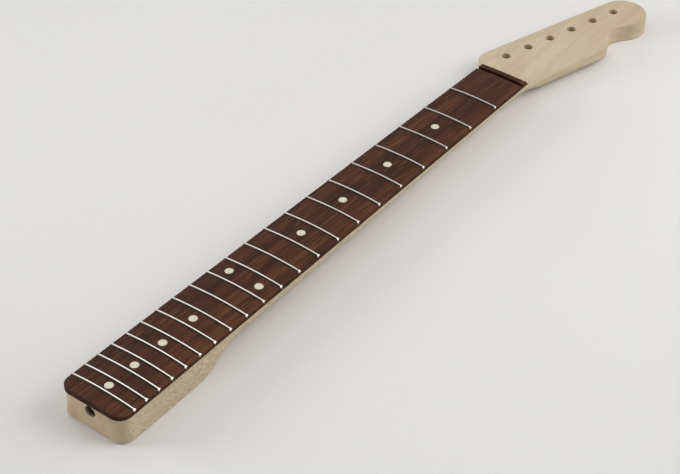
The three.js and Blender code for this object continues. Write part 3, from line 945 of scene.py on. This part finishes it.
class Shader:
    """The nodes of one material, or of the world, with short ways to add and join them."""

    def __init__(self, owner, surface="Principled BSDF"):
        owner.use_nodes = True
        self.owner = owner
        self.tree = owner.node_tree
        self.surface = self.tree.nodes[surface]

    def put(self, socket, value):
        """Links a socket to another one, or sets its value."""
        if isinstance(value, bpy.types.NodeSocket):
            self.tree.links.new(value, socket)
        else:
            socket.default_value = value

    def add(self, kind, *values, output=0, **settings):
        """Adds a node and gives back one of its output sockets.

        values go to its inputs in order, and settings by name to an input or to the node itself. A
        setting of None is left alone.
        """
        node = self.tree.nodes.new("ShaderNode" + kind)
        for key, value in settings.items():
            if value is None:
                continue
            if key in node.inputs:
                self.put(node.inputs[key], value)
            else:
                setattr(node, key, value)
        for socket, value in zip(node.inputs, values):
            self.put(socket, value)
        return node.outputs[output]

    def place(self, stretch, turn=(0, 0, 0)):
        """Object coordinates in millimetres, divided by a stretch along each axis."""
        spot = self.add("TexCoord", output="Object")
        scale = [1 / (MM * s) for s in stretch]
        return self.add("Mapping", spot, (0, 0, 0), turn, scale)

    def metres(self):
        """Object coordinates in metres, one by one."""
        spot = self.add("TexCoord", output="Object")
        return [self.add("SeparateXYZ", spot, output=axis) for axis in "XYZ"]

    def facing(self, axis):
        """How far the surface faces along an axis, from -1 to 1."""
        return self.add("SeparateXYZ", self.add("TexCoord", output="Normal"), output=axis)

    def noise(self, spot, detail=2, roughness=0.5, distortion=0):
        settings = {"Detail": detail, "Roughness": roughness, "Distortion": distortion}
        return self.add("TexNoise", Vector=spot, Scale=1, **settings)

    def pattern(self, stretch, **options):
        """Noise in patches that are as long along each axis as stretch says, in millimetres."""
        return self.noise(self.place(stretch), **options)

    def ramp(self, value, *stops):
        """A colour ramp that eases from stop to stop, each (place, colour) or (place, grey)."""
        node = self.tree.nodes.new("ShaderNodeValToRGB")
        node.color_ramp.interpolation = "EASE"
        elements = node.color_ramp.elements
        while len(elements) < len(stops):
            elements.new(1)
        for element, (position, colour) in zip(elements, stops):
            element.position = position
            if isinstance(colour, (int, float)):
                colour = (colour,) * 3
            element.color = (*colour, 1)
        self.put(node.inputs[0], value)
        return node.outputs[0]

    def mix(self, share, first, second):
        """The first colour, less a share of it that goes to the second."""
        node = self.tree.nodes.new("ShaderNodeMix")
        node.data_type = "RGBA"
        self.put(node.inputs["Factor"], share)
        for socket, value in ((mix_first_input, first), (mix_second_input, second)):
            self.put(node.inputs[socket], (*value, 1) if isinstance(value, tuple) else value)
        return node.outputs[mix_output]

    def layer(self, tone, colour, pattern, *stops):
        """Lays a colour over a tone, by the share that a pattern has in a ramp."""
        return self.mix(self.ramp(pattern, *stops), tone, colour)

    def math(self, operation, first, second=0.0):
        return self.add("Math", first, second, operation=operation)

    def product(self, first, second):
        return self.math("MULTIPLY", first, second)

    def distance(self, across, up):
        squares = (self.math("POWER", side, 2) for side in (across, up))
        return self.math("SQRT", self.math("ADD", *squares))

    def bump(self, height, depth, normal=None):
        """A relief of a depth in millimetres, over another relief where normal gives one."""
        return self.add("Bump", Height=height, Strength=1, Distance=depth * MM, Normal=normal)

    def seen(self):
        """1 where the camera looks, also by reflection or through glass, and 0 for other light."""
        rays = ("Is Camera Ray", "Is Glossy Ray", "Is Transmission Ray")
        camera, glossy, transmission = (self.add("LightPath", output=ray) for ray in rays)
        return self.math("MAXIMUM", self.math("MAXIMUM", camera, glossy), transmission)

    def finish(self, **inputs):
        """Sets the surface's inputs, with _ for a space, and gives back the material or world."""
        for name, value in inputs.items():
            self.put(self.surface.inputs[name.replace("_", " ")], value)
        return self.owner


def srgb(red, green, blue):
    """A colour given as it is seen, 0 to 255, as the linear values that shaders take."""
    linear = []
    for channel in (red, green, blue):
        c = channel / 255
        linear.append(c / 12.92 if c <= 0.04045 else ((c + 0.055) / 1.055) ** 2.4)
    return tuple(linear)


def late_wood(s, x, y, z):
    """How dark the growth rings are at each place."""
    wander = s.pattern((160, 60, 60), detail=3)
    waver = s.product(s.math("SUBTRACT", wander, 0.5), ring_waver)
    across = s.math("ADD", s.math("SUBTRACT", y, ring_axis_to_bass), waver)
    up = s.math("ADD", s.math("ADD", z, ring_axis_below), waver)
    lean = s.product(x, ring_lean)
    rings = s.product(s.math("ADD", s.distance(across, up), lean), 2 * math.pi / ring_spacing)
    return s.ramp(s.math("SINE", rings), (0.1, 0), (0.95, 1))


def flecked(s, tone, x):
    """Lays ray flecks over the sides of the neck, the most towards its heel."""
    flecks = s.pattern((2.9, 1.2, 0.75), detail=3, roughness=0.65)
    towards_heel = s.ramp(s.math("DIVIDE", x, fleck_reach * MM), (0.3, 1), (0.7, 0.25))
    side_on = s.math("ABSOLUTE", s.facing("Y"))
    flat_sawn_side = s.product(s.ramp(side_on, (0.5, 0), (0.95, 1)), towards_heel)
    dark_flecks = s.product(s.ramp(flecks, (0.48, 0), (0.63, fleck_strength)), flat_sawn_side)
    light_flecks = s.product(s.ramp(flecks, (0.34, fleck_strength), (0.47, 0)), flat_sawn_side)
    tone = s.mix(dark_flecks, tone, srgb(164, 142, 105))
    return s.mix(light_flecks, tone, srgb(221, 206, 178))


def end_grain(s):
    """The colour of the wood where its fibres end."""
    pores = s.pattern((3, 0.5, 0.5), detail=3, roughness=0.6)
    patch = s.pattern((12, 12, 12))
    tone = s.layer(srgb(202, 180, 152), srgb(189, 162, 128), patch, (0.35, 0), (0.68, 1))
    return s.layer(tone, srgb(160, 132, 98), pores, (0.45, 0), (0.8, 0.4))


def bore_painted_shade(s, x, y, z):
    """How much painted shade darkens the wall of the truss rod's hole, more so further in, and 0
    elsewhere.
    """
    up = s.math("SUBTRACT", z, crown_top + rod_axis * MM)
    at_wall = s.math("LESS_THAN", s.distance(y, up), access_diameter * bore_reach_share * MM)
    in_heel = s.math("LESS_THAN", x, nut_line + (heel_end + access_depth) * MM)
    past_mouth = s.math("SUBTRACT", x, nut_line + heel_end * MM)
    painted_shade = s.ramp(s.math("DIVIDE", past_mouth, shade_deepens_over * MM), (0, 0.3), (0.75, 0.92))
    return s.product(s.product(at_wall, in_heel), painted_shade)


def maple():
    """Bare sanded maple with growth rings, fibres along the neck, ray flecks and end grain, and
    painted shade inside the truss rod's hole.
    """
    s = Shader(bpy.data.materials.new("maple"))
    x, y, z = s.metres()
    patch = s.pattern((90, 16, 16), detail=3, roughness=0.55)
    fibres = s.pattern((9, 0.32, 0.32), detail=4, roughness=0.62)
    long_streaks = s.pattern((70, 1.6, 1.6), detail=3, roughness=0.6)
    tone = s.ramp(
        patch,
        (0.3, srgb(207, 191, 164)),
        (0.5, srgb(201, 184, 156)),
        (0.72, srgb(193, 174, 144)),
    )
    late = s.product(late_wood(s, x, y, z), late_wood_share)
    tone = s.mix(late, tone, srgb(170, 144, 108))
    tone = s.layer(tone, srgb(178, 156, 120), long_streaks, (0.48, 0), (0.78, 0.2))
    tone = s.layer(tone, srgb(162, 136, 100), fibres, (0.42, 0), (0.8, 0.2))
    tone = flecked(s, tone, x)
    end_on = s.math("ABSOLUTE", s.facing("X"))
    tone = s.layer(tone, end_grain(s), end_on, (0.45, 0), (0.98, 0.85))
    # Painted shade: the wall of the truss rod's hole is darkened further in
    tone = s.mix(bore_painted_shade(s, x, y, z), tone, srgb(40, 29, 18))
    fibre_relief = s.bump(s.pattern((2.5, 0.22, 0.22), detail=4, roughness=0.6), maple_fibre_depth)
    return s.finish(
        Base_Color=tone,
        Roughness=s.ramp(fibres, (0.3, 0.58), (0.75, 0.72)),
        Normal=s.bump(s.pattern((14, 3, 3)), maple_wave_depth, fibre_relief),
        Specular_IOR_Level=maple_specular,
    )


def rosewood():
    """Oiled rosewood: brown bands, red and near-black streaks along the grain, and open pores, with
    painted shade on the faces that don't face up.
    """
    s = Shader(bpy.data.materials.new("rosewood"))
    shift = s.product(s.math("SUBTRACT", s.pattern((180, 30, 30)), 0.5), rosewood_grain_bend)
    straight = s.place((1, 1, 1), (0, 0, math.radians(rosewood_grain_turn)))
    bent = s.add("VectorMath", straight, s.add("CombineXYZ", 0, shift, shift), operation="ADD")

    def grain(stretch, **options):
        scaled = s.add("Mapping", bent, (0, 0, 0), (0, 0, 0), [1 / part for part in stretch])
        return s.noise(scaled, **options)

    bands = grain((170, 8, 8), detail=3, roughness=0.55)
    streaks = grain((36, 1.4, 1.4), detail=4, roughness=0.64)
    dark_lines = grain((60, 0.9, 0.9), detail=3, roughness=0.6)
    pores = grain((4.2, 0.26, 0.4))
    blotches = grain((24, 10, 10), detail=3, roughness=0.6)
    side = s.add("SeparateXYZ", s.place((1, 1, 1)), output="Y")
    across = s.add("Math", side, -1 / board_width_at_heel, 0.5, operation="MULTIPLY_ADD")
    lighter_to_treble = s.ramp(across, (0.5, 0), (1, 0.2))
    tone = s.ramp(
        s.math("ADD", bands, lighter_to_treble),
        (0.3, srgb(49, 32, 24)),
        (0.45, srgb(60, 38, 27)),
        (0.57, srgb(70, 44, 31)),
        (0.74, srgb(93, 59, 39)),
    )
    tone = s.layer(tone, srgb(84, 47, 36), blotches, (0.5, 0), (0.68, 0.6))
    tone = s.layer(tone, srgb(47, 33, 24), blotches, (0.3, 0.6), (0.48, 0))
    tone = s.layer(tone, srgb(124, 81, 50), streaks, (0.5, 0), (0.74, 0.72))
    tone = s.layer(tone, srgb(33, 19, 14), dark_lines, (0.24, 0.7), (0.46, 0))
    # Painted shade: the sides, ends and slot walls, which face up less, are darkened
    tone = s.layer(tone, srgb(31, 18, 13), s.facing("Z"), (0, 0.6), (0.7, 0))
    open_pores = s.ramp(pores, (0.28, 1), (0.4, 0))
    tone = s.mix(s.product(open_pores, pore_darkness), tone, srgb(27, 15, 12))
    relief = s.math("SUBTRACT", s.product(streaks, 0.25), open_pores)
    return s.finish(
        Base_Color=tone,
        Roughness=s.ramp(streaks, (0.3, 0.5), (0.75, 0.62)),
        Normal=s.bump(relief, pore_depth),
        Specular_IOR_Level=rosewood_specular,
    )


def metal(name, colour, dull, stretch, roughness, depth, painted_flank_shade=None):
    """Worked metal: fine scratches along the way it was worked, with a faint cloudy tarnish.

    stretch and depth are those of the scratches, in millimetres, and roughness is the least and the
    most. painted_flank_shade is the colour of a painted shade, a dark reflection, on the faces that
    lean along the neck.
    """
    s = Shader(bpy.data.materials.new(name))
    scratches = s.pattern(stretch, detail=4, roughness=0.65)
    clouds = s.pattern((9, 6, 6), detail=3, roughness=0.6)
    tone = s.layer(colour, dull, clouds, (0.42, 0), (0.75, tarnish_share))
    if painted_flank_shade:
        # Painted shade: a dark reflection laid on the flanks, the faces that lean along the neck
        lean = s.math("ABSOLUTE", s.facing("X"))
        tone = s.layer(tone, painted_flank_shade, lean, (0.11, 0), (0.42, 0.95))
    least, most = roughness
    gloss = s.ramp(scratches, (0.3, least), (0.75, most))
    return s.finish(Base_Color=tone, Roughness=gloss, Normal=s.bump(scratches, depth), Metallic=1)


def inlay(name, colour, shade):
    """Cream inlay with a faint pearly swirl."""
    s = Shader(bpy.data.materials.new(name))
    swirl = s.pattern((2.6, 1.7, 1.7), detail=4, roughness=0.6, distortion=1.6)
    fine = s.pattern((0.5, 0.5, 0.5), detail=3)
    tone = s.layer(colour, shade, swirl, (0.38, 0), (0.68, 1))
    tone = s.layer(tone, srgb(188, 182, 156), fine, (0.45, 0), (0.8, 0.25))
    return s.finish(
        Base_Color=tone,
        Roughness=s.ramp(fine, (0.3, 0.3), (0.7, 0.42)),
        Normal=s.bump(fine, inlay_depth),
        Coat_Weight=inlay_coat,
        Coat_Roughness=inlay_coat_roughness,
    )


def paper_floor():
    """A plain pale floor with faint clouds. Further out the camera sees the backdrop's colour."""
    s = Shader(bpy.data.materials.new("floor"))
    cloud = s.pattern((floor_cloud_size,) * 3)
    tone = s.ramp(cloud, (0.3, srgb(228, 227, 224)), (0.7, srgb(233, 232, 229)))
    spot = s.add("TexCoord", output="Object")
    from_part = s.add("VectorMath", spot, middle, operation="DISTANCE", output="Value")
    far = s.ramp(s.math("DIVIDE", from_part, 2 * backdrop_from), (0.5, 0), (1, 1))
    glow = s.add("Emission", (*backdrop, 1), 1)
    near = s.surface.outputs["BSDF"]
    whole = s.add("MixShader", s.product(far, s.seen()), near, glow)
    s.put(s.tree.nodes["Material Output"].inputs["Surface"], whole)
    return s.finish(Base_Color=tone, Roughness=s.ramp(cloud, (0.3, 0.85), (0.7, 0.9)))


# The pieces


def make_metals():
    """The frets' nickel, the steels of the truss rod's nut and its rod, and the washer's brass."""
    nickel = metal(
        "fret_nickel",
        colour=srgb(226, 222, 214),
        dull=srgb(206, 202, 193),
        stretch=(0.3, 6, 0.3),
        roughness=(0.14, 0.24),
        depth=0.003,
        # painted shade: a dark reflection on the frets' flanks
        painted_flank_shade=srgb(66, 60, 53),
    )
    # The nut's steel is painted darker than bare steel, as painted shade for its place deep in its
    # hole
    shaded_nut_steel = metal(
        "adjuster_steel",
        colour=srgb(112, 102, 92),
        dull=srgb(58, 50, 42),
        stretch=(0.3, 3, 3),
        roughness=(0.35, 0.55),
        depth=0.01,
    )
    rod_steel = metal(
        "rod_steel",
        colour=srgb(150, 150, 150),
        dull=srgb(104, 100, 96),
        stretch=(5, 0.3, 0.3),
        roughness=(0.35, 0.55),
        depth=0.02,
    )
    brass = metal(
        "washer_brass",
        colour=srgb(196, 164, 104),
        dull=srgb(150, 120, 72),
        stretch=(0.3, 3, 3),
        roughness=(0.3, 0.5),
        depth=0.01,
    )
    return nickel, shaded_nut_steel, rod_steel, brass


def make_pieces():
    maple_wood = maple()
    rosewood_wood = rosewood()
    nickel, shaded_nut_steel, rod_steel, brass = make_metals()
    cream = inlay("dot_inlay", srgb(226, 219, 196), srgb(211, 205, 180))
    side_cream = inlay("side_dot_inlay", srgb(228, 223, 205), srgb(215, 208, 188))

    piece("neck_wood", neck_mesh(), maple_wood, ["neck"])
    piece("fingerboard_wood", board_mesh(), rosewood_wood, ["fingerboard"])
    for fret in range(1, fret_count + 1):
        node = f"fret_{fret:02d}"
        piece(f"{node}_wire", fret_mesh(fret_place(fret)), nickel, [node])
    for node, x, y in dot_places():
        piece(f"{node}_inlay", dot_mesh(x, y), cream, [node])
    for node, x in side_dot_places():
        piece(f"{node}_inlay", side_dot_mesh(x), side_cream, [node])
    nut = adjuster_mesh()
    piece("truss_rod_nut_turned", nut, shaded_nut_steel, ["truss_rod_nut"], "adjuster")

    # The hidden pieces keep their CAD meshes and only get a material
    kept = {
        "truss_rod": rod_steel,
        "truss_rod_anchor": rod_steel,
        "truss_rod_cover_strip": maple_wood,
        "truss_rod_washer": brass,
    }
    for node, material in kept.items():
        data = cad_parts[node].data
        data.materials.clear()
        data.materials.append(material)


# The stage


def make_floor():
    bm = bmesh.new()
    bmesh.ops.create_grid(bm, x_segments=1, y_segments=1, size=floor_reach)
    bmesh.ops.translate(bm, vec=(middle.x, middle.y, cad_box[0].z), verts=bm.verts)
    mesh = to_mesh(bm)
    mesh.materials.append(paper_floor())
    floor = in_scene("floor", mesh)


def make_camera():
    data = bpy.data.cameras.new("camera")
    data.lens = camera_lens
    data.sensor_width = camera_sensor_width
    data.clip_start, data.clip_end = camera_clips
    camera = in_scene("camera", data)
    camera.location = from_nut_line @ camera_place
    roll = Matrix.Rotation(math.radians(camera_roll), 3, camera_look)
    camera.rotation_mode = "QUATERNION"
    camera.rotation_quaternion = roll.to_quaternion() @ camera_look.to_track_quat("-Z", "Y")
    bpy.context.scene.camera = camera


def area_light(name, offset, size, power, beam):
    """A rectangular lamp that stands at an offset from the part's middle and faces it."""
    data = bpy.data.lights.new(name, "AREA")
    data.shape = "RECTANGLE"
    data.size, data.size_y = size
    data.energy = power
    data.spread = math.radians(beam)
    lamp = in_scene(name, data)
    lamp.location = middle + Vector(offset)
    lamp.rotation_mode = "QUATERNION"
    lamp.rotation_quaternion = (middle - lamp.location).to_track_quat("-Z", "Y")


def make_lights():
    """The lamps, with a little light from all round that the camera sees as the backdrop."""
    for name, settings in lamps.items():
        area_light(name, **settings)
    s = Shader(bpy.data.worlds.new("studio"), "Background")
    bpy.context.scene.world = s.finish(Color=s.mix(s.seen(), all_round_light, backdrop), Strength=1)


make_camera()
make_pieces()
make_floor()
make_lights()
bpy.context.scene.view_settings.view_transform = "Standard"
